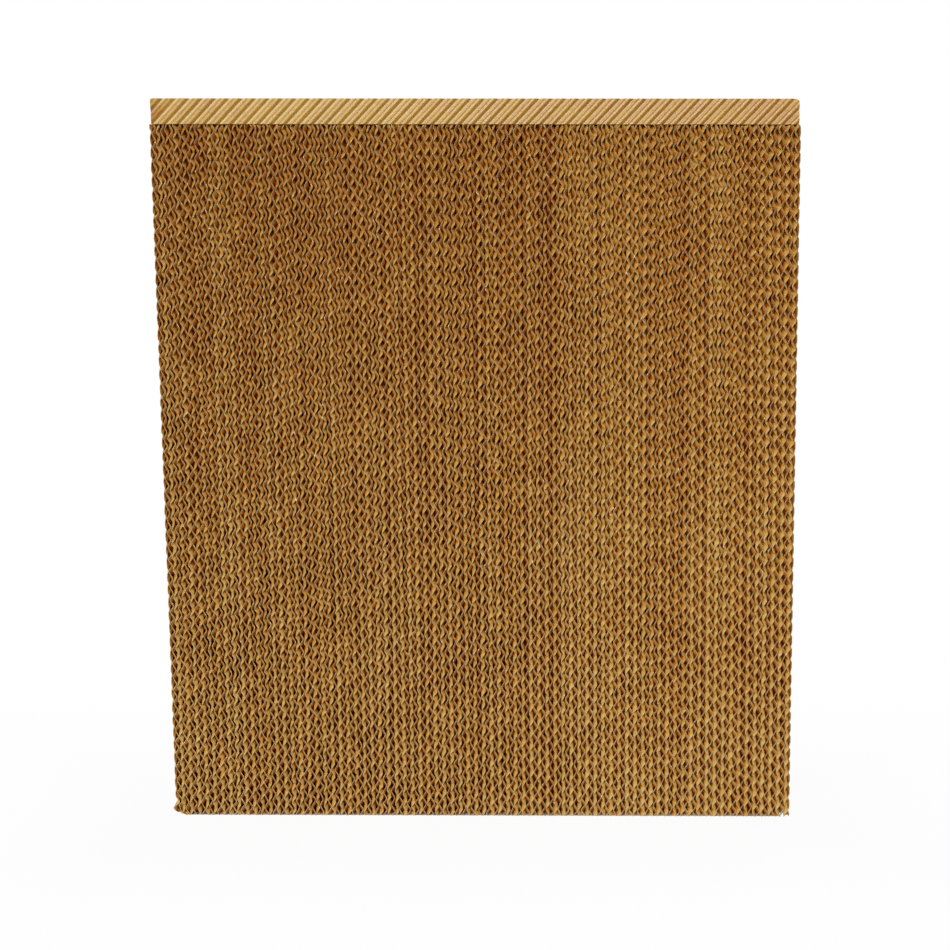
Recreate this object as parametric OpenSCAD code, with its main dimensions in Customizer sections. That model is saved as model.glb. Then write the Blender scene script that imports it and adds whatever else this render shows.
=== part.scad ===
// Evaporative cooling pad: cross-fluted kraft paper, with a strip of the same media on its top edge.
// The origin is at the middle of the underside, +Z is up and the front faces -Y.

/* [Pad] */
// Width of the pad, across the stack of sheets
pad_w = 762; // [500:1:900]
// Depth of the pad, front to back, along the air flow
pad_d = 50; // [40:1:100]
// Height of the pad without the top strip
pad_h = 842.5; // [400:0.5:900]
// Height of the strip that lies on the pad's top edge
strip_h = 29.5; // [20:0.5:60]

/* [Flutes] */
// Height of one flute, which is the pitch of the sheets in the stack
flute_h = 4.9; // [4.5:0.1:8]
// Distance from flute to flute, square to the flutes
flute_pitch = 11.6; // [10:0.1:18]
// Slope of the flutes from level, to the back or to the front in turn
flute_angle = 45; // [30:1:60]
// Thickness of the stiffened paper
paper_t = 0.4; // [0.3:0.1:0.6]
// Width of the glue line between crests that meet
glue_gap = 0.1; // [0.05:0.05:0.2]

/* [Hidden] */
// Sheets that are drawn bonded into one layer, an even number so that both slopes show on every layer
layer_sheets = 4;
// Groups that the pad's layers are shared among
group_count = 13;
layer_count = max(group_count, round(pad_w / (layer_sheets * flute_h)));
layer_pitch = (pad_w + glue_gap) / layer_count;
layer_t = layer_pitch - glue_gap;
flute_depth = layer_pitch / layer_sheets - paper_t;
strip_count = 2 * round(pad_d / (2 * flute_h));
strip_pitch = (pad_d + glue_gap) / strip_count;
strip_flute_depth = strip_pitch - glue_gap - paper_t;
// A prism this long reaches past the media at both ends of every flute
reach = 2 * (pad_h + pad_d);
// Step of the flutes from sheet to sheet, in flutes: the golden ratio keeps neighbours out of step
phase_step = (sqrt(5) - 1) / 2;
paper_colour = "#b98f55";
strip_colour = "#c9a468";

function two_digits(i) = str(i < 10 ? "0" : "", i);
PAD_NODES = [for (i = [1:group_count]) str("pad_sheets_", two_digits(i))];
STRIP_NODES = ["strip_rising_sheets", "strip_falling_sheets"];

// Part of a flute by which the flutes of sheet i are shifted
function phase(i) = i * phase_step - floor(i * phase_step);

// Wavy line from crest to trough along a run of flutes, as points [depth, distance]
function flute_line(depth, from, to, shift) =
  let (half = flute_pitch / 2,
       first = 2 * floor(from / flute_pitch) - 2,
       last = 2 * ceil(to / flute_pitch) + 2)
  [for (i = [first:last]) [i % 2 == 0 ? 0 : depth, i * half + shift * flute_pitch]];

// The run of flutes square to their slope, over a sheet that is wide by high and stands on zero
function run_from(wide) = -wide / 2 * sin(flute_angle);
function run_to(wide, high) = high * cos(flute_angle) + wide / 2 * sin(flute_angle);

function turned(points) = [for (i = [len(points) - 1:-1:0]) points[i]];

// Endless layer with flutes in its left face, sloped by angle to the back
module left_fluted(angle, shift) {
  line = flute_line(flute_depth, run_from(pad_d), run_to(pad_d, pad_h), shift);
  back = layer_t + flute_depth;
  ends = [[back, line[len(line) - 1][1]], [back, line[0][1]]];
  rotate([90 + angle, 0, 0])
    linear_extrude(height = reach, center = true)
      polygon(concat(line, ends));
}

// One layer of bonded sheets: the flutes rise to the back on its left face and fall to the back on its right
module pad_layer(i) {
  intersection() {
    left_fluted(flute_angle, phase(2 * i));
    translate([layer_t, 0, 0])
      mirror([1, 0, 0])
        left_fluted(-flute_angle, phase(2 * i + 1));
    translate([-flute_depth, -pad_d / 2, 0])
      cube([layer_t + 2 * flute_depth, pad_d, pad_h]);
  }
}

// The layers of one group, side by side across the pad
module pad_sheets(group) {
  first = floor(group * layer_count / group_count);
  last = floor((group + 1) * layer_count / group_count) - 1;
  color(paper_colour)
    for (i = [first:last])
      translate([i * layer_pitch - pad_w / 2, 0, 0])
        pad_layer(i);
}

// One corrugated sheet of the strip, with flutes sloped by angle to the right
module strip_sheet(angle, shift) {
  line = flute_line(strip_flute_depth, run_from(strip_h) - pad_w / 2, run_to(strip_h, pad_w / 2), shift);
  front = [for (p = line) [p[1], p[0]]];
  rear = [for (p = front) p + [0, paper_t]];
  intersection() {
    rotate([0, angle, 0])
      linear_extrude(height = reach, center = true)
        polygon(concat(front, turned(rear)));
    translate([-pad_w / 2, -paper_t, 0])
      cube([pad_w, strip_pitch + 2 * paper_t, strip_h]);
  }
}

// Every second sheet of the strip, from the front one or from the one behind it
module strip_sheets(first, angle) {
  color(strip_colour)
    for (i = [first:2:strip_count - 1])
      translate([0, i * strip_pitch - pad_d / 2, pad_h])
        strip_sheet(angle, phase(i));
}

for (group = [0:group_count - 1])
  pad_sheets(group);
strip_sheets(0, flute_angle);
strip_sheets(1, -flute_angle);
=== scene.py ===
# %% [markdown]
# # An evaporative cooling pad
# A cooling pad is a slab of corrugated kraft paper, stiffened with resin. Air is drawn through it from
# front to back while water runs down it. This lesson dresses the plain solids of such a pad as the
# paper that they stand for: every sheet with its own flutes, cut edges and tone. The solids come first,
# as a fixed frame.

# %% Load the frame
import math

import bpy
import numpy as np
from mathutils import Matrix, Vector


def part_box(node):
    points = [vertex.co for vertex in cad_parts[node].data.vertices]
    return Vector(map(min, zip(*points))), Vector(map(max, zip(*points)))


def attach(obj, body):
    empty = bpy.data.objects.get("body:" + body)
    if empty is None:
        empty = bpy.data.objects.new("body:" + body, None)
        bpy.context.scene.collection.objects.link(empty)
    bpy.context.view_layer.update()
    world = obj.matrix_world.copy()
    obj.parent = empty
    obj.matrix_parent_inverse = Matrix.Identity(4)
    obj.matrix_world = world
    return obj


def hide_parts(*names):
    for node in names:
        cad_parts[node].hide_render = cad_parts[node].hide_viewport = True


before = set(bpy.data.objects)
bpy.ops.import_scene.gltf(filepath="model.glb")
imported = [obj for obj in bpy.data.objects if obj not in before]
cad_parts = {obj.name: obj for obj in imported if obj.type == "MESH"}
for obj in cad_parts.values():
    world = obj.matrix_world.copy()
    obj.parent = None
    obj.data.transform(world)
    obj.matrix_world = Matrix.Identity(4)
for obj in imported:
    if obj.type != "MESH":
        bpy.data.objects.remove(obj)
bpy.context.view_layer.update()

# %% [markdown]
# ## Sizes
# The frame says where the slab and its top strip are, so those sizes are read from it and not typed
# again. Only what the solids leave out is written here: how many sheets a group of layers stands for,
# how thick the paper looks at its sawn edges, and how far the old slab leans out of square.

# %% Read the sizes
MM = 0.001
PAD_NODES = sorted(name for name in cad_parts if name.startswith("pad_sheets_"))
STRIP_NODES = ["strip_rising_sheets", "strip_falling_sheets"]
pad_low = np.min([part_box(name)[0] for name in PAD_NODES], axis=0)
pad_high = np.max([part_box(name)[1] for name in PAD_NODES], axis=0)
strip_low = np.min([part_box(name)[0] for name in STRIP_NODES], axis=0)
strip_high = np.max([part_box(name)[1] for name in STRIP_NODES], axis=0)
pad_depth = pad_high[1] - pad_low[1]
pad_height = pad_high[2] - pad_low[2]
SHEETS_PER_GROUP = 12
STRIP_SHEETS = 10
PAD_PITCH = 11.6 * MM
STRIP_PITCH = 11.27 * MM
PAD_ANGLE = math.radians(45)
STRIP_ANGLE = math.radians(44.25)
PAPER = 0.6 * MM
LEAN = 0.0121
sheet_count = SHEETS_PER_GROUP * len(PAD_NODES)
pad_rise = PAD_PITCH / math.cos(PAD_ANGLE)
strip_rise = STRIP_PITCH / math.cos(STRIP_ANGLE)
print(sheet_count, "sheets, a flute every", round(pad_rise / MM, 2), "mm up the pad")

# %% [markdown]
# ## Camera
# The photograph was taken from a little under two metres away, from four fifths of the pad's height,
# looking slightly down: the slab's sides lean together towards the floor. A lens of 61 mm gives that
# mild convergence. Place, lens and turns were found by matching the outline of the pad.

# %% Set up the camera
CAMERA_PLACE = (0.0056, -1.9349, 0.6999)
CAMERA_PITCH = math.radians(-8.097)
CAMERA_YAW = math.radians(-0.303)
CAMERA_ROLL = math.radians(0.058)
LENS = 60.63
SENSOR = 36.0


def aim(pitch, yaw, roll):
    """Turn a camera that looks down until it looks along +Y, then by yaw, pitch and roll."""
    level = Matrix.Rotation(math.pi / 2 + pitch, 3, "X")
    turned = Matrix.Rotation(-yaw, 3, "Z") @ level
    return (turned @ Matrix.Rotation(roll, 3, "Z")).to_euler()


bpy.ops.object.select_all(action="DESELECT")
bpy.ops.object.camera_add(location=CAMERA_PLACE, rotation=aim(CAMERA_PITCH, CAMERA_YAW, CAMERA_ROLL))
camera = bpy.context.object
camera.name = "camera"
camera.data.lens = LENS
camera.data.sensor_width = SENSOR
bpy.context.scene.camera = camera
print("camera", [round(math.degrees(a), 2) for a in camera.rotation_euler])

# %% [markdown]
# ## A helper for shader maths
# A material's pattern is arithmetic on numbers that change over the surface. This small class wraps a
# socket, so that an expression such as `1 - mask * 0.5` adds the Math nodes for it. Every other node
# comes from `node`. Nodes could be added and linked one by one, but a formula of ten steps would then
# fill the screen.

# %% Wrap a socket


class Wire:
    """One output socket of a material, with arithmetic."""

    def __init__(self, tree, socket=None):
        self.tree = tree
        self.socket = socket

    def node(self, kind, settings=None, inputs=None, output=0):
        """Add a node: its settings first, then the values or wires of its sockets."""
        made = self.tree.nodes.new(kind)
        for key, value in (settings or {}).items():
            if key == "stops":
                set_stops(made.color_ramp, value)
            else:
                setattr(made, key, value)
        for key, value in (inputs or {}).items():
            if isinstance(value, Wire):
                self.tree.links.new(value.socket, made.inputs[key])
            else:
                made.inputs[key].default_value = value
        return Wire(self.tree, made.outputs[output])

    def math(self, operation, first, second=0.0):
        return self.node("ShaderNodeMath", {"operation": operation}, {0: first, 1: second})

    def mix(self, share, first, second):
        """Mix two colours by a share."""
        inputs = {"Factor": share, 6: first, 7: second}
        return self.node("ShaderNodeMix", {"data_type": "RGBA"}, inputs, output=2)

    def feed(self, node, name):
        """Link this wire to a socket of a node that is already there."""
        self.tree.links.new(self.socket, node.inputs[name])

    def __add__(self, other):
        return self.math("ADD", self, other)

    def __sub__(self, other):
        return self.math("SUBTRACT", self, other)

    def __mul__(self, other):
        return self.math("MULTIPLY", self, other)

    def __radd__(self, other):
        return self.math("ADD", other, self)

    def __rsub__(self, other):
        return self.math("SUBTRACT", other, self)

    def __rmul__(self, other):
        return self.math("MULTIPLY", other, self)


def set_stops(ramp, stops):
    """Give a colour ramp its stops, as (place, colour) pairs."""
    while len(ramp.elements) < len(stops):
        ramp.elements.new(0.5)
    for element, (place, colour) in zip(ramp.elements, stops):
        element.position = place
        element.color = colour


def srgb(red, green, blue):
    """A colour from 0 to 255, as seen on a screen, turned into light."""
    values = [v / 255 for v in (red, green, blue)]
    return tuple(v / 12.92 if v <= 0.04045 else ((v + 0.055) / 1.055) ** 2.4 for v in values) + (1.0,)


print("helper ready: Wire")

# %% [markdown]
# ## Patterns in paper
# Paper is never one colour. Its fibres, blotches and specks are soft noise at different scales. Its pale
# rim, partly a painted rim light, and the painted shade in its flutes depend on how deep a place lies
# below the sawn front or back. Small painted glints, pale specks that stand in for highlights, come in
# patches. A picture of paper could be wrapped round the sheets, but noise never repeats and stays sharp
# close up. Each pattern gets a name here, so that the materials read as a list of what is seen.

# %% Name the patterns
# Size, patches and share of the painted glints.
GLINT_SCALE, GLINT_PATCH_SCALE = 210, 16
GLINT_PATCH_SHARE = 0.3
GLINT_FROM, GLINT_TO = 0.9, 0.94


def new_material(name):
    """A material with a Principled shader, and the wire that its nodes start from."""
    material = bpy.data.materials.new(name)
    material.use_nodes = True
    tree = material.node_tree
    return material, Wire(tree), tree.nodes["Principled BSDF"]


def noise(wire, place, scale, detail):
    """A soft random pattern from 0 to 1."""
    inputs = {"Vector": place, "Scale": scale, "Detail": detail}
    return wire.node("ShaderNodeTexNoise", inputs=inputs, output="Fac")


def mark(wire, name):
    """A mark that the sheets carry, such as their tone."""
    return wire.node("ShaderNodeAttribute", {"attribute_name": name}, output="Fac")


def part_of(wire, place, axis):
    """One coordinate of a place."""
    return wire.node("ShaderNodeSeparateXYZ", inputs={0: place}, output=axis)


def share_between(wire, value, low, high):
    """Zero up to one value, one from another on, and even in between."""
    return wire.node("ShaderNodeMapRange", inputs={"Value": value, "From Min": low, "From Max": high})


def depth_below(wire, place):
    """How deep a place lies below the front or the back of the pad."""
    return pad_depth / 2 - wire.math("ABSOLUTE", part_of(wire, place, "Y"))


def painted_glints(wire, place):
    """Small painted glints, in patches: pale specks that stand in for highlights."""
    spots = noise(wire, place, GLINT_SCALE, detail=0) + noise(wire, place, GLINT_PATCH_SCALE, detail=1) * GLINT_PATCH_SHARE
    return share_between(wire, spots, GLINT_FROM, GLINT_TO)


print("patterns ready")

# %% [markdown]
# ## Kraft paper
# The paper is brown kraft: fibres that run along the web, blotches where the resin soaked in more, fine
# specks, and a tone that changes a little from sheet to sheet. The outer millimetres are a paler khaki,
# partly from bleaching and partly a painted rim light. Deep inside the flutes the paper is painted dark
# red brown as painted shade, more towards the foot. The face is painted lighter towards the foot and
# darker towards the top, as painted light. Rubbed crests are pale, and the same pale is a painted
# highlight on the strip's shoulders. Small painted glints sit near the sawn front and back. The fibres
# follow the flutes, so they read the sheet's own UV map, which holds the distance across the flutes and
# along them. Sawn edges get a material of their own: rough fibre ends, lighter towards the foot, with
# small painted glints.

# %% Make the paper materials
# Depths below the sawn front or back: where the pale rim with its painted rim light ends and the painted
# shade begins, where the painted shade is full, and how deep the painted glints reach.
RIM_DEPTH = 4 * MM
DEEP = 8 * MM
GLINT_DEPTH = 1.6 * MM
# About the middle height, the face is painted lighter towards the foot as painted light, the edges are
# lighter towards the foot, and the painted shade in the flutes is stronger there.
MID_HEIGHT = 0.45
FOOT_LIGHT_PER_METRE = 0.2
EDGE_FADE = 0.5
DEEP_SHADE, DEEP_FADE = 0.58, 0.4
BASE_SHADE = 0.6
TONE_SHARE = 0.15
FIBRE_SCALE = (1400, 160, 1)
FIBRES, BLOTCHES, CLOUDS, SPECKS = 0.4, 0.4, 0.35, 1.3
RELIEF, RELIEF_DEPTH = 0.25, 0.3 * MM
BLOTCH_ROUGH = 0.25
EDGE_ROUGH, GRAIN_ROUGH = 0.4, 0.3
FACE_STOPS = (0.05, 0.3, 0.6, 0.9)
EDGE_STOPS = (0.2, 0.8)
# Shares and colours: rub and painted highlight, the pale rim partly of painted rim light, painted glints, and
# the painted shade.
RUB_AND_HIGHLIGHT = 0.85
BLEACH_AND_RIM_LIGHT_SHARE = 0.36
PALE = srgb(244, 232, 206)
GLINT = srgb(226, 206, 168)
KHAKI = srgb(203, 187, 140)
SHADE_BROWN = srgb(112, 34, 4)


def kraft_paper(name, *tones, rough, shine):
    """The face of a sheet: its tones, painted shade, light and glints, a partly bleaching rim and rubbed
    places.
    """
    material, wire, shader = new_material(name)
    place = wire.node("ShaderNodeTexCoord", output="Object")
    flutes = wire.node("ShaderNodeUVMap", {"uv_map": "Flutes"})
    along = wire.node("ShaderNodeMapping", inputs={"Vector": flutes, "Scale": FIBRE_SCALE})
    fibres = noise(wire, along, scale=1, detail=3)
    blotches = noise(wire, place, scale=45, detail=4)
    clouds = noise(wire, place, scale=7, detail=2)
    specks = noise(wire, place, scale=800, detail=1)
    patterns = ((fibres, FIBRES), (blotches, BLOTCHES), (clouds, CLOUDS), (specks, SPECKS))
    shade = BASE_SHADE + mark(wire, "sheet_tone") * TONE_SHARE
    for pattern, amount in patterns:
        shade = shade + (pattern - 0.5) * amount
    height, depth = part_of(wire, place, "Z"), depth_below(wire, place)
    inner = mark(wire, "sheet_inner")
    # Painted light: lighter towards the foot, darker towards the top.
    shade = shade + (MID_HEIGHT - height) * FOOT_LIGHT_PER_METRE
    # Painted shade: dark red brown deep in the flutes, stronger towards the foot.
    shade = shade - share_between(wire, depth, RIM_DEPTH, DEEP) * inner * (DEEP_SHADE - height * DEEP_FADE)
    stops = list(zip(FACE_STOPS, tones))
    colour = wire.node("ShaderNodeValToRGB", {"stops": stops}, {"Fac": shade}, output="Color")
    # Pale rubbed crests on the outer sheets, and painted highlights on the strip's shoulders.
    rub_and_highlight = mark(wire, "sheet_rubbed") * fibres * RUB_AND_HIGHLIGHT
    # A paler khaki rim at the front and back, partly from bleaching and partly painted rim light.
    bleach_and_rim_light = share_between(wire, depth, RIM_DEPTH, 0.0) * inner * BLEACH_AND_RIM_LIGHT_SHARE
    # Painted glints near the sawn front and back.
    glinted = painted_glints(wire, place) * share_between(wire, depth, GLINT_DEPTH, 0.0) * inner
    for share, tint in ((bleach_and_rim_light, KHAKI), (rub_and_highlight, PALE), (glinted, GLINT)):
        colour = wire.mix(share, colour, tint)
    relief = {"Height": fibres, "Strength": RELIEF, "Distance": RELIEF_DEPTH}
    colour.feed(shader, "Base Color")
    (rough + blotches * BLOTCH_ROUGH).feed(shader, "Roughness")
    wire.node("ShaderNodeBump", inputs=relief, output="Normal").feed(shader, "Normal")
    shader.inputs["Specular IOR Level"].default_value = shine
    return material


def cut_edge(name, dark, light):
    """The sawn edge of a sheet: rough fibre ends, with small painted glints."""
    material, wire, shader = new_material(name)
    place = wire.node("ShaderNodeTexCoord", output="Object")
    grain = noise(wire, place, scale=500, detail=2)
    shade = grain + mark(wire, "sheet_tone") * TONE_SHARE
    shade = shade + (MID_HEIGHT - part_of(wire, place, "Z")) * EDGE_FADE
    stops = list(zip(EDGE_STOPS, (dark, light)))
    colour = wire.node("ShaderNodeValToRGB", {"stops": stops}, {"Fac": shade}, output="Color")
    # Painted glints on the sawn edge.
    wire.mix(painted_glints(wire, place), colour, GLINT).feed(shader, "Base Color")
    (EDGE_ROUGH + grain * GRAIN_ROUGH).feed(shader, "Roughness")
    return material


# The darkest stop of the pad's paper is the painted shade deep in the flutes.
pad_paper = kraft_paper("pad_paper", SHADE_BROWN, srgb(177, 96, 10), srgb(208, 152, 50),
                        srgb(218, 184, 106), rough=0.28, shine=0.4)
strip_paper = kraft_paper("strip_paper", srgb(142, 82, 10), srgb(158, 104, 14), srgb(175, 133, 40),
                          srgb(187, 148, 57), rough=0.2, shine=0.35)
pad_edge = cut_edge("pad_cut_edge", srgb(140, 97, 46), srgb(202, 165, 106))
strip_edge = cut_edge("strip_cut_edge", srgb(176, 132, 68), srgb(206, 168, 104))
print("materials", [m.name for m in (pad_paper, strip_paper, pad_edge, strip_edge)])

# %% [markdown]
# ## One rolled sheet
# A corrugator presses flat paper into waves. A bump map could fake them, but the sawn edges would stay
# straight. Here a grid of one flute is pressed row by row, its columns are lifted towards the back so
# that the flute climbs, and an array repeats the flute up the sheet. A straight flute needs only one
# column of quads. The sheet whose foot is bent gets more of them.

# %% Roll a blank
SHARPNESS = 0.07
SPARE_FLUTES = 4
BENT_COLUMNS = 6
PAD_STEPS, STRIP_STEPS = 12, 24


def pick(obj, test):
    """Select the vertices of an object in edit mode whose place passes a test."""
    bpy.ops.mesh.select_all(action="DESELECT")
    bpy.ops.object.mode_set(mode="OBJECT")
    for vertex in obj.data.vertices:
        vertex.select = test(vertex.co)
    bpy.ops.object.mode_set(mode="EDIT")


def rolled_blank(name, length, width, rise, angle, steps, columns=1):
    """A corrugated blank in the YZ plane: waves of unit height in X, flutes rising along Y by an angle."""
    slope = math.tan(angle)
    bpy.ops.object.select_all(action="DESELECT")
    bpy.ops.mesh.primitive_grid_add(x_subdivisions=steps, y_subdivisions=columns, size=1,
                                    rotation=(0, -math.pi / 2, 0))
    blank = bpy.context.object
    blank.name = name
    blank.scale = (rise, width, 1)
    bpy.ops.object.transform_apply(rotation=True, scale=True)
    bpy.ops.object.mode_set(mode="EDIT")
    bpy.ops.mesh.select_mode(type="VERT")
    for step in range(steps + 1):
        height = (step / steps - 0.5) * rise
        pick(blank, lambda co: abs(co.z - height) < rise / steps / 4)
        turn = 2 * math.pi * step / steps
        crest = (math.cos(turn) + SHARPNESS * math.cos(3 * turn)) / (1 + SHARPNESS)
        bpy.ops.transform.translate(value=(crest / 2, 0, 0))
    for column in range(1, columns + 1):
        place = (column / columns - 0.5) * width
        pick(blank, lambda co: abs(co.y - place) < width / columns / 4)
        bpy.ops.transform.translate(value=(0, 0, width * slope * column / columns))
    bpy.ops.object.mode_set(mode="OBJECT")
    array = blank.modifiers.new("flutes", "ARRAY")
    array.count = math.ceil((length + width * slope) / rise) + SPARE_FLUTES + 2
    array.use_relative_offset = False
    array.use_constant_offset = True
    array.constant_offset_displace = (0, 0, rise)
    array.use_merge_vertices = True
    array.merge_threshold = rise / 1000
    bpy.ops.object.modifier_apply(modifier=array.name)
    return blank


def blank_arrays(blank, angle):
    """The blank's points, as wave, across (over the flutes) and along (to the back), and its quads."""
    points = np.empty(len(blank.data.vertices) * 3)
    blank.data.vertices.foreach_get("co", points)
    points = points.reshape(-1, 3)
    quads = np.empty(len(blank.data.polygons) * 4, dtype=np.int64)
    blank.data.polygons.foreach_get("vertices", quads)
    wave, along = points[:, 0], points[:, 1]
    across = points[:, 2] - math.tan(angle) * (along - along.min())
    bpy.data.objects.remove(blank)
    return wave, across - across.min(), along, quads.reshape(-1, 4)


pad_roll = rolled_blank("pad_blank", pad_height, pad_depth, pad_rise, PAD_ANGLE, PAD_STEPS)
pad_blank = blank_arrays(pad_roll, PAD_ANGLE)
outer_roll = rolled_blank("outer_blank", pad_height, pad_depth, pad_rise, PAD_ANGLE, PAD_STEPS, BENT_COLUMNS)
outer_blank = blank_arrays(outer_roll, PAD_ANGLE)
print("pad blank:", len(pad_blank[3]), "quads, and", len(outer_blank[3]), "for the sheet that bends")

# %% [markdown]
# ## From blank to paper
# A blank becomes a sheet of its own when its points are moved and it is sawn off at its ends. Sheets
# are sawn one by one, because no two end at quite the same height, and only then joined to a piece. The
# thickness comes last, because it also makes the sawn edges.

# %% Make sheets and join them
SMOOTH_ANGLE = math.radians(50)


def wander(across, spacing, amount, draw):
    """Random values along a sheet: one for each stretch, joined by straight runs."""
    knots = np.arange(0, across.max() + 2 * spacing, spacing)
    return np.interp(across, knots, draw.normal(0, amount, len(knots)))


def make_sheet(name, points, quads, uv, marks):
    """One sheet as an object, with its UV map and the marks that its paper reads."""
    mesh = bpy.data.meshes.new(name)
    mesh.from_pydata(points, [], quads.tolist())
    layer = mesh.uv_layers.new(name="Flutes")
    layer.data.foreach_set("uv", uv[quads.ravel()].astype(np.float32).ravel())
    for title, value in marks.items():
        values = np.full(len(points), value, dtype=np.float32)
        mesh.attributes.new(title, "FLOAT", "POINT").data.foreach_set("value", values)
    sheet = bpy.data.objects.new(name, mesh)
    bpy.context.collection.objects.link(sheet)
    return sheet


def trim(sheet, cuts):
    """Saw a sheet off by planes, each a spot and the way that the waste lies."""
    bpy.ops.object.select_all(action="DESELECT")
    bpy.context.view_layer.objects.active = sheet
    sheet.select_set(True)
    bpy.ops.object.mode_set(mode="EDIT")
    for spot, waste in cuts:
        bpy.ops.mesh.select_all(action="SELECT")
        bpy.ops.mesh.bisect(plane_co=spot, plane_no=waste, clear_outer=True)
    bpy.ops.object.mode_set(mode="OBJECT")


def join(name, sheets):
    """Make one piece of several sheets."""
    bpy.ops.object.select_all(action="DESELECT")
    for sheet in sheets:
        sheet.select_set(True)
    bpy.context.view_layer.objects.active = sheets[0]
    bpy.ops.object.join()
    piece = bpy.context.object
    piece.name = name
    piece.data.name = name
    return piece


def thicken(piece, face, edge):
    """Give the sheets of a piece their paper thickness, with the sawn edges in their own material."""
    piece.data.materials.append(face)
    piece.data.materials.append(edge)
    solid = piece.modifiers.new("paper", "SOLIDIFY")
    solid.thickness = PAPER
    solid.offset = 0
    solid.use_even_offset = True
    solid.material_offset_rim = 1
    bpy.ops.object.modifier_apply(modifier=solid.name)
    bpy.ops.object.shade_smooth_by_angle(angle=SMOOTH_ANGLE)


print("sheet helpers ready")

# %% [markdown]
# ## Worn corners and a slab out of square
# The thickness pushes some paper past the saw cuts, so it is flattened again. Corners of the outline
# are rubbed round, and the whole slab leans a little to the left, as an old stack that has stood for
# years does. Then a piece takes the place of its solids in the frame. A lattice could do the leaning,
# but arithmetic on the points leans every piece alike and leaves the objects at the origin.

# %% Settle and finish a piece


def round_corner(points, corner, inward, radius):
    """Wear a corner of the outline round, as seen from the front."""
    centre = np.array(corner) + np.array(inward) * radius
    offset = points[:, [0, 2]] - centre
    away = np.linalg.norm(offset, axis=1)
    pulled = (offset * inward < 0).all(axis=1) & (away > radius)
    points[np.ix_(pulled, [0, 2])] = centre + offset[pulled] / away[pulled, None] * radius


def settle(piece, low, high, worn_corners):
    """Flatten what the thickness pushed past the saw cuts, wear the corners and let the slab lean."""
    points = np.empty(len(piece.data.vertices) * 3, dtype=np.float32)
    piece.data.vertices.foreach_get("co", points)
    points = np.clip(points.reshape(-1, 3), low, high)
    for corner, inward, radius in worn_corners:
        round_corner(points, corner, inward, radius)
    points[:, 0] -= LEAN * (points[:, 2] - strip_high[2] / 2)
    piece.data.vertices.foreach_set("co", points.ravel())
    piece.data.update()


def finish_piece(piece, slot, *nodes):
    """Ride on the body and stand for the solids."""
    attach(piece, "root")
    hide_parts(*nodes)
    print(piece.name, "has", sum(len(p.vertices) - 2 for p in piece.data.polygons), "triangles")


print("lean at the top", round(LEAN * strip_high[2] / 2 / MM, 1), "mm")

# %% [markdown]
# ## Waves out of step
# The sheets stand on edge, side by side, and every second one is turned round, so that its flutes fall
# to the back and cross its neighbours' flutes. The blanks were cut from one web a tenth of a flute out
# of step from sheet to sheet. At the foot every second pair is also half a flute out, and higher up the
# sheets slip by as they please. Seen from the front, this makes zones of parallel zigzags and zones of
# diamonds. Copies of one sheet would show one stiff pattern, so each sheet is shifted by a rule and a
# random draw.

# %% Set the waves out
TURNED_STEP = 0.3
SHEET_STEP = 0.1
PAIR_STEP = 0.5
PAIR_FADE = 1.4
LOOSE_STEP = 0.12
LOOSE_DRIFT = 0.16
LOOSE_RISE = 2.2
SHARED_DRIFT = 0.8
CROSSING_DRIFT = 0.15
DRIFT_WAVES = 5
FEWEST_TURNS = 0.6
DRIFT_SPAN = 2.2


def drift_field(most_turns, seed):
    """A smooth random number for each sheet of the stack, about -1 to 1."""
    draw = np.random.default_rng(seed)
    place = np.arange(sheet_count)[:, None] / sheet_count
    turns = draw.uniform(FEWEST_TURNS, most_turns, DRIFT_WAVES)
    start = draw.uniform(0, 1, DRIFT_WAVES)
    return np.sin(2 * np.pi * (place * turns + start)).sum(axis=1) / DRIFT_SPAN


shared_drift = drift_field(most_turns=3.0, seed=11)
crossing_drift = drift_field(most_turns=3.5, seed=23)


def wave_shift(i, turn, height, draw):
    """How far up the waves of sheet i are shifted at each height, in flutes."""
    step = (TURNED_STEP if turn < 0 else 0) + i * SHEET_STEP % 1 - 0.5 + draw.normal(0, LOOSE_STEP)
    step = step + PAIR_STEP * (i // 2 % 2) * np.clip(1 - height * PAIR_FADE, 0, 1)
    drift = (SHARED_DRIFT * shared_drift[i] + turn * CROSSING_DRIFT * crossing_drift[i]) * height
    return step + (drift + draw.normal(0, LOOSE_DRIFT) * np.clip(height * LOOSE_RISE, 0, 1))


print("shared drift from", round(shared_drift.min(), 2), "to", round(shared_drift.max(), 2))

# %% [markdown]
# ## The worn corner at the lower left
# The outer sheet is the one that gets knocked. Near the floor it is dented, below the dent it bulges
# out, and its foot is bent round and under the next sheets, which end a little higher. It could be
# sculpted by hand, but a formula bends the points the same way in every run.

# %% Bend the outer sheet
# A dent is its height, its span, how far it goes in, and how many sheets it reaches
DENTS = [(17.5 * MM, 4.5 * MM, 3.6 * MM, 2), (9.5 * MM, 3.5 * MM, -3.6 * MM, 1)]
BULGE_ROOM = np.array([4 * MM, 0, 0])
FLAP_RADIUS = 4.5 * MM
FLAP_TURN = 1.29
FLAP_START = 7.4 * MM
FOOT_WIDTH = 14 * MM
FOOT_LIFT = 4 * MM
FOOT_SHEETS = 4
FOOT_CORNER = 3 * MM


def dented(i, x, z):
    """Push the outer sheets in or out where they were knocked."""
    for middle, span, inward, reached in DENTS:
        if i < reached:
            x = x + inward * np.exp(-((z - pad_low[2] - middle) / span) ** 2)
    return x


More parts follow.
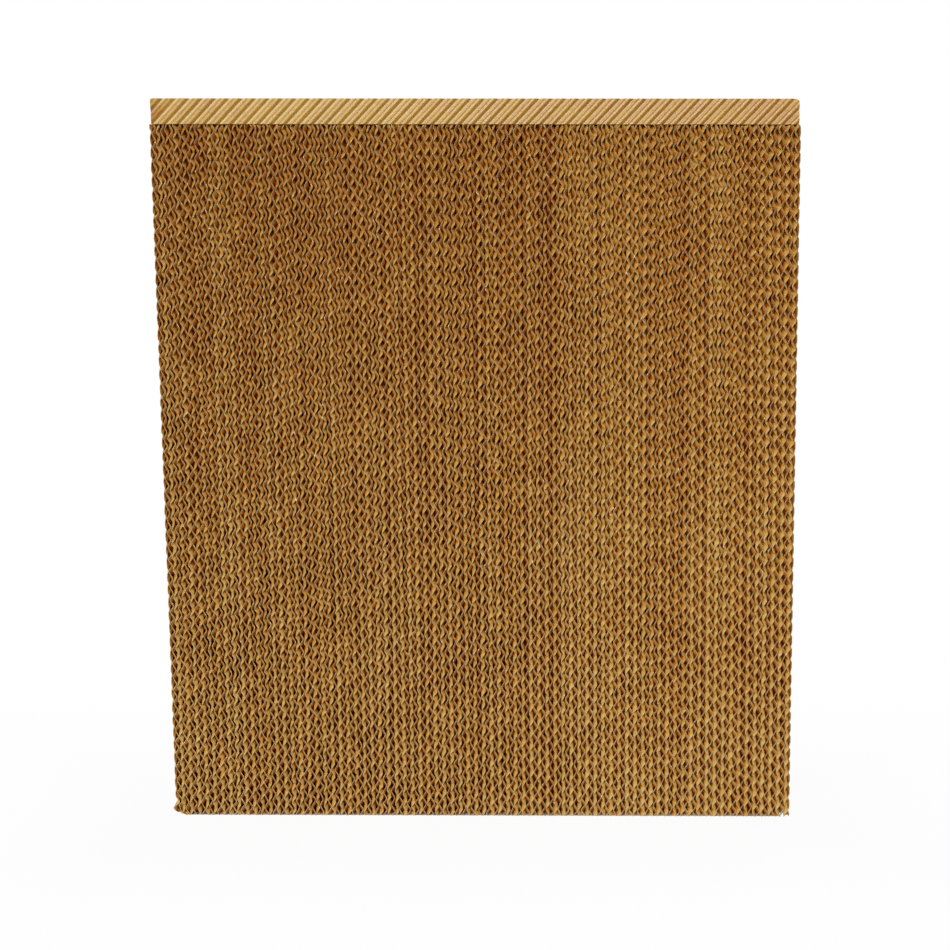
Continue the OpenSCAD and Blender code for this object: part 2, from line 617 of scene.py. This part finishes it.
def curl_under(x, z):
    """Bend the foot of the outer sheet round and under its neighbours, as a worn flap."""
    inset = x - pad_low[0]
    past = np.maximum(FLAP_START - (z - pad_low[2]), 0)
    turn = np.minimum(past / FLAP_RADIUS, FLAP_TURN)
    rest = np.maximum(past - FLAP_TURN * FLAP_RADIUS, 0)
    bent = past > 0
    flap_x = FLAP_RADIUS * (1 - np.cos(turn)) + rest * np.sin(turn) + inset * np.cos(turn)
    flap_z = FLAP_START - FLAP_RADIUS * np.sin(turn) - rest * np.cos(turn) + inset * np.sin(turn)
    return np.where(bent, pad_low[0] + flap_x, x), np.where(bent, pad_low[2] + flap_z, z)


print("dents at", [round(float(d[0] / MM), 1) for d in DENTS], "mm")

# %% [markdown]
# ## The stack of the pad
# The stack was glued up from several rolls of paper, each with its own tone. Sheets whose flutes climb
# to the back are painted lighter and turned sheets darker, most at the foot, as painted light and shade.
# The two outer sheets are pressed flat on the outside and rubbed on their crests. Each sheet is drawn
# from its own seed, so one sheet can change without the rest.

# %% Lay the pad's sheets
ROLL_TONES = [(0.12, 0.15), (0.62, -0.2), (1.0, 0.1)]
OUTER_PRESS = 0.1
INNER_PRESS = 0.7
SIDE_RUB = 0.5
WAVE_OVERLAP = 1.04
PRESS_PLAY = 0.9 * MM
REACH_PLAY = 0.08
EDGE_PLAY = 0.16 * MM
SAW_PLAY = 0.3 * MM
TOP_GAP = 0.7 * MM
TONE_PLAY = 0.35
# How strong the painted light and shade of the sheets is at the foot and at the top.
FOOT_LIGHT_STRIPE = 0.7
TOP_LIGHT_STRIPE = 0.1
UV_STEP = 0.173
PAD_SEED = 500
outer_loss = 1 - (OUTER_PRESS + INNER_PRESS) / 2
sheet_pitch = (pad_high[0] - pad_low[0]) / (sheet_count - 2 * outer_loss)


def roll_tone(i):
    """The tone of the roll that sheet i was cut from."""
    return next(tone for end, tone in ROLL_TONES if (i + 0.5) / sheet_count <= end)


def pad_cuts(i, side, draw):
    """Where sheet i is sawn off: at its foot and its top, and the outer flap at its end."""
    lift = FOOT_LIFT * max(0.0, 1 - i * sheet_pitch / FOOT_WIDTH) if i else 0.0
    top_gap = 0.0 if side else abs(draw.normal(TOP_GAP, TOP_GAP / 2))
    cuts = [((0, 0, pad_low[2] + lift), (0, 0, -1)),
            ((0, pad_high[1], pad_high[2]), (0, -top_gap / pad_depth, 1))]
    if i == 0:
        cuts.append(((pad_low[0] + FOOT_WIDTH, 0, 0), (1, 0, 0)))
    return cuts


def pad_sheet(i):
    """Sheet i of the pad, counted from the left."""
    wave, across, along, quads = outer_blank if i == 0 else pad_blank
    draw = np.random.default_rng(PAD_SEED + i)
    turn = 1 if i % 2 == 0 else -1
    side = -1 if i == 0 else 1 if i == sheet_count - 1 else 0
    height = across / pad_height
    shift = wave_shift(i, turn, height, draw)
    run = across + (shift - SPARE_FLUTES) * pad_rise + wander(across, pad_rise, PRESS_PLAY, draw)
    reach = (sheet_pitch - PAPER) * (WAVE_OVERLAP + wander(across, pad_rise, REACH_PLAY, draw))
    front = along < 0
    edge_play = np.where(front, wander(across, pad_rise / 3, EDGE_PLAY, draw),
                         wander(across, pad_rise / 3, EDGE_PLAY, draw))
    saw_play = np.abs(wander(across, pad_rise / 4, SAW_PLAY, draw))
    pressed = wave * np.where(wave * side > 0, OUTER_PRESS, INNER_PRESS) if side else wave
    centre = i + 0.5 - outer_loss - side * (1 - INNER_PRESS) / 2
    z = run + along * math.tan(PAD_ANGLE)
    x = dented(i, pad_low[0] + centre * sheet_pitch + pressed * reach + edge_play, z)
    if i == 0:
        x, z = curl_under(x, z)
    points = np.stack([x, turn * (along + np.where(front, saw_play, -saw_play)), z], axis=1)
    uv = np.stack([across * math.cos(PAD_ANGLE) + i * UV_STEP, along / math.cos(PAD_ANGLE)], axis=1)
    # Painted light and shade: sheets whose flutes climb to the back lighter, turned sheets darker, most at
    # the foot.
    light_stripe = FOOT_LIGHT_STRIPE + (TOP_LIGHT_STRIPE - FOOT_LIGHT_STRIPE) * np.clip(height, 0, 1)
    marks = {"sheet_tone": roll_tone(i) + draw.normal(0, TONE_PLAY) + turn * light_stripe, "sheet_inner": 1.0}
    if side:
        marks["sheet_inner"] = 0.0
        marks["sheet_rubbed"] = SIDE_RUB * np.clip(wave * side * 2, 0, 1) ** 2
    elif i < FOOT_SHEETS:
        marks["sheet_inner"] = np.clip((z - pad_low[2]) / FOOT_WIDTH - 1, 0, 1)
    sheet = make_sheet(f"pad_sheet_{i}", points, quads, uv, marks)
    trim(sheet, pad_cuts(i, side, draw))
    return sheet


worn = [((pad_high[0], pad_low[2]), (-1, 1), FOOT_CORNER)]
for group, node in enumerate(PAD_NODES):
    members = range(group * SHEETS_PER_GROUP, (group + 1) * SHEETS_PER_GROUP)
    piece = join(node.replace("pad_sheets", "pad_paper"), [pad_sheet(i) for i in members])
    thicken(piece, pad_paper, pad_edge)
    settle(piece, pad_low - BULGE_ROOM, pad_high, worn)
    finish_piece(piece, "pad_paper", node)

# %% [markdown]
# ## The strip's front sheet
# The strip is cut from the same media but laid the other way: its sheets face the front, so its front
# shows the flutes of one sheet side on, climbing to the right. That sheet's crests were pressed against
# the mould, which left them broad and a little dished: each has two bright shoulders, which catch the
# light and also carry a painted highlight, and the valleys between them are narrow. Its left end curls
# back into the shade and is painted darker as painted shade. The rolled blank's wave is too even for
# this, so two cosines give the dished one.

# %% Shape the front sheet
strip_height = strip_high[2] - strip_low[2]
strip_width = strip_high[0] - strip_low[0]
strip_depth = strip_high[1] - strip_low[1]
strip_pitch = strip_depth / STRIP_SHEETS
strip_roll = rolled_blank("strip_blank", strip_width, strip_height, strip_rise, STRIP_ANGLE, STRIP_STEPS)
strip_blank = blank_arrays(strip_roll, STRIP_ANGLE)
DISH = 0.55
DISH_TURN = -2.3
DISH_SPAN = 2.6
FRONT_PRESS = 0.55
FRONT_START = 0.62
# Where the painted highlights sit on each flute, how wide they are, and how they fade to the right.
SHOULDERS = [(0.57, 1.0), (0.0, 0.25)]
SHOULDER_WIDTH = 0.08
HIGHLIGHT_FADE = 0.4
TONE_FADE = 0.9
CURL_SHADE = 3
CURL_LENGTH = 6 * MM
CURL_DEPTH = 3 * MM


def dished_wave(turns):
    """The wave of the front sheet, with a broad dished crest in each flute."""
    wave = np.cos(2 * math.pi * turns) + DISH * np.cos(4 * math.pi * turns + DISH_TURN)
    return FRONT_PRESS * (0.5 - wave / DISH_SPAN) - 0.5


def shoulder_highlight(turns):
    """How strong the painted highlight on the shoulders of the front sheet's crests is."""
    return sum(share * np.exp(-((turns - place + 0.5) % 1 - 0.5) ** 2 / SHOULDER_WIDTH ** 2)
               for place, share in SHOULDERS)


print("strip blank:", len(strip_blank[3]), "quads")

# %% [markdown]
# ## The strip on top
# Behind the front sheet, nine more sheets cross in turn. The strip was sawn a little shorter than the
# pad, its top corners are worn round, and the second sheet makes room for the curled end. Sheets that
# rise to the right and sheets that fall are two pieces, as they are in the frame.

# %% Lay the strip's sheets
END_GAPS = 0.9 * MM, 1.6 * MM
TOP_CORNERS = 1.5 * MM, 5.5 * MM
STRIP_PRESS_PLAY = 0.5 * MM
STRIP_TONE_PLAY = 0.4
STRIP_UV_STEP = 0.31
STRIP_SEED = 900


def strip_sheet(i):
    """Sheet i of the strip, counted from the front."""
    wave, across, along, quads = strip_blank
    draw = np.random.default_rng(STRIP_SEED + i)
    turn = 1 if i % 2 == 0 else -1
    start = FRONT_START if i == 0 else draw.uniform(0, 1)
    press = wander(across, 2 * strip_rise, STRIP_PRESS_PLAY, draw)
    run = across + (start - SPARE_FLUTES) * strip_rise + strip_low[0] - strip_height + press
    x = run + (along - along.min()) * math.tan(STRIP_ANGLE)
    outside = i in (0, STRIP_SHEETS - 1)
    marks = {"sheet_tone": draw.normal(0, STRIP_TONE_PLAY), "sheet_inner": 0.0 if outside else 1.0}
    curl = np.zeros(len(x))
    if i == 0:
        turns = across / strip_rise
        wave = dished_wave(turns)
        curl = np.clip(1 - (x - strip_low[0]) / CURL_LENGTH, 0, 1)
        # Painted highlight on the shoulders, fading to the right and gone on the curl.
        marks["sheet_rubbed"] = (1 - curl) * shoulder_highlight(turns) * (1 - HIGHLIGHT_FADE * x / strip_high[0])
        # Painted shade on the curled end, and a tone that falls to the right.
        marks["sheet_tone"] = -TONE_FADE * x / strip_high[0] - CURL_SHADE * curl
    y = strip_low[1] + (i + 0.5) * strip_pitch + wave * (strip_pitch - PAPER) + CURL_DEPTH * curl ** 2
    z = (strip_low[2] + strip_high[2]) / 2 + turn * along
    uv = np.stack([across * math.cos(STRIP_ANGLE) + i * STRIP_UV_STEP, along / math.cos(STRIP_ANGLE)], axis=1)
    sheet = make_sheet(f"strip_sheet_{i}", np.stack([x, y, z], axis=1), quads, uv, marks)
    play = np.abs(draw.normal(0, SAW_PLAY, 2)) + END_GAPS
    left = strip_low[0] + play[0] + (CURL_LENGTH / 2 if i == 1 else 0.0)
    trim(sheet, [((left, 0, 0), (-1, 0, 0)), ((strip_high[0] - play[1], 0, 0), (1, 0, 0))])
    return sheet


torn = [((strip_low[0] + END_GAPS[0], strip_high[2]), (1, -1), TOP_CORNERS[0]),
        ((strip_high[0] - END_GAPS[1], strip_high[2]), (-1, -1), TOP_CORNERS[1])]
for first, node in enumerate(STRIP_NODES):
    members = range(first, STRIP_SHEETS, 2)
    piece = join(node.replace("_sheets", "_paper"), [strip_sheet(i) for i in members])
    thicken(piece, strip_paper, strip_edge)
    settle(piece, strip_low, strip_high, torn)
    finish_piece(piece, "strip_paper", node)

# %% [markdown]
# ## A white floor
# The pad was photographed on white, so the floor is white to the camera. It still takes a soft shadow
# close to the pad, and under the pad it is as dark as it would be. A bare white background would let
# the pad float, so the floor has a glow that is only seen directly: it starts at the pad's foot and
# takes over within half a metre.

# %% Lay the floor
FLOOR_SIZE = 12.0
FLOOR_FADE = 0.5
FLOOR_GREY = 0.5
FLOOR_ROUGH = 0.9
FOOT_SHADOW = 3 * MM
GLOW_START, GLOW_LEVEL = 0.003, 0.95
bpy.ops.object.select_all(action="DESELECT")
bpy.ops.mesh.primitive_plane_add(size=FLOOR_SIZE, location=(0, 0, 0))
floor = bpy.context.object
floor.name = "floor"


def seen_directly(wire):
    """One where the camera, a mirror or a glass looks straight at a surface."""
    camera_ray = wire.node("ShaderNodeLightPath", output="Is Camera Ray")
    glossy_ray = wire.node("ShaderNodeLightPath", output="Is Glossy Ray")
    through_ray = wire.node("ShaderNodeLightPath", output="Is Transmission Ray")
    return wire.math("MAXIMUM", wire.math("MAXIMUM", camera_ray, glossy_ray), through_ray)


def beyond(wire, centre, half):
    """How far a place lies outside a span about a centre."""
    return wire.math("ABSOLUTE", wire - centre) - half


def grey(level):
    """A neutral colour."""
    return (level, level, level, 1)


floor_material, floor_wire, floor_shader = new_material("white_floor")
floor_shader.inputs["Base Color"].default_value = grey(FLOOR_GREY)
floor_shader.inputs["Roughness"].default_value = FLOOR_ROUGH
floor_place = floor_wire.node("ShaderNodeTexCoord", output="Object")
foot_middle = LEAN * float(strip_high[2]) / 2
outside = floor_wire.math(
    "MAXIMUM",
    beyond(part_of(floor_wire, floor_place, "X"), foot_middle, float(pad_high[0]) - FOOT_WIDTH),
    beyond(part_of(floor_wire, floor_place, "Y"), 0.0, pad_depth / 2 - FOOT_SHADOW))
glow_stops = [(0.0, grey(0)), (GLOW_START, grey(GLOW_LEVEL)), (1.0, grey(1))]
glow_share = floor_wire.node("ShaderNodeValToRGB", {"stops": glow_stops}, {"Fac": outside * (1 / FLOOR_FADE)})
glow = floor_wire.node("ShaderNodeEmission", inputs={"Color": grey(1), "Strength": 1.0})
mixed = floor_wire.node("ShaderNodeMixShader", inputs={0: seen_directly(floor_wire) * glow_share, 2: glow})
floor_tree = floor_material.node_tree
floor_tree.links.new(floor_shader.outputs[0], mixed.socket.node.inputs[1])
mixed.feed(floor_tree.nodes["Material Output"], "Surface")
floor.data.materials.append(floor_material)
print("floor ready")

# %% [markdown]
# ## Light and background
# The key light is a soft sun from the front and a little to the upper left, which gives the flutes
# their light and dark sides. A smaller, weaker lamp from further left puts a shine on the stiff paper's
# shoulders, and a third lights the back. The world is white to the camera and fills the shadows at a
# lower level.

# %% Light the pad
FILL = 0.42
LAMP_DISTANCE = 3
LAMPS = [("key_light", Vector((-0.22, -0.88, 0.42)), 1.95, 20),
         ("shine_light", Vector((-0.45, -0.72, 0.53)), 0.5, 8),
         ("back_light", Vector((0.35, 0.85, 0.4)), 1.2, 20)]
world = bpy.data.worlds.new("white_studio")
bpy.context.scene.world = world
world.use_nodes = True
background = world.node_tree.nodes["Background"]
background.inputs["Color"].default_value = grey(1)
level = FILL + seen_directly(Wire(world.node_tree)) * (1 - FILL)
level.feed(background, "Strength")
for name, side, strength, softness in LAMPS:
    facing = side.to_track_quat("Z", "Y").to_euler()
    bpy.ops.object.light_add(type="SUN", location=side * LAMP_DISTANCE, rotation=facing)
    lamp = bpy.context.object
    lamp.name = name
    lamp.data.energy = strength
    lamp.data.angle = math.radians(softness)
bpy.context.scene.view_settings.view_transform = "Standard"
print("lamps", [lamp[0] for lamp in LAMPS])
